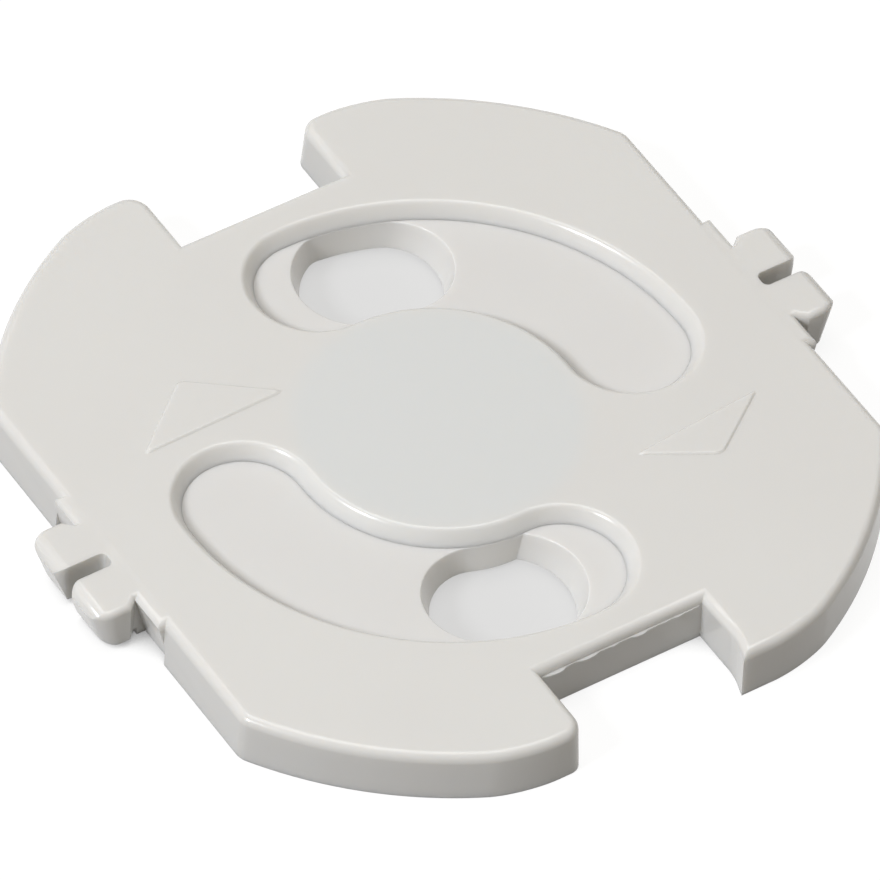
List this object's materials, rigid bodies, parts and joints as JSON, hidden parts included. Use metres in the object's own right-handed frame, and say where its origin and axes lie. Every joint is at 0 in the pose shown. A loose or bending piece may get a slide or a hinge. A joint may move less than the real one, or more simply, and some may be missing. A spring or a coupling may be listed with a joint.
{
  "type": "outlet safety cover",
  "caption": "Round plastic cover for a recessed wall socket: a keyed plate with curved pin slots over a turning shutter disc, with edge notches and grip tabs.",
  "frame": {"origin": "centre of the flat underside, on the shutter disc's axis", "axes": "+Z out of the wall, away from the socket; +X through the grip tabs, which is also the line of the socket's pin holes; +Y through the notches for the earth clips"},
  "size_m": [0.0372, 0.0362, 0.0025],
  "materials": {
    "plate_plastic": "satin",
    "disc_plastic": "satin"
  },
  "bodies": {
    "cover": {"cover_plate": "plate_plastic"},
    "shutter": {"shutter_disc": "disc_plastic"}
  },
  "joints": [
    {"name": "shutter_turn", "type": "hinge", "parent": "cover", "child": "shutter", "pos_m": [0, 0, 0.001], "axis": [0, 0, 1], "range_deg": [-70.5, 12.96]}
  ]
}
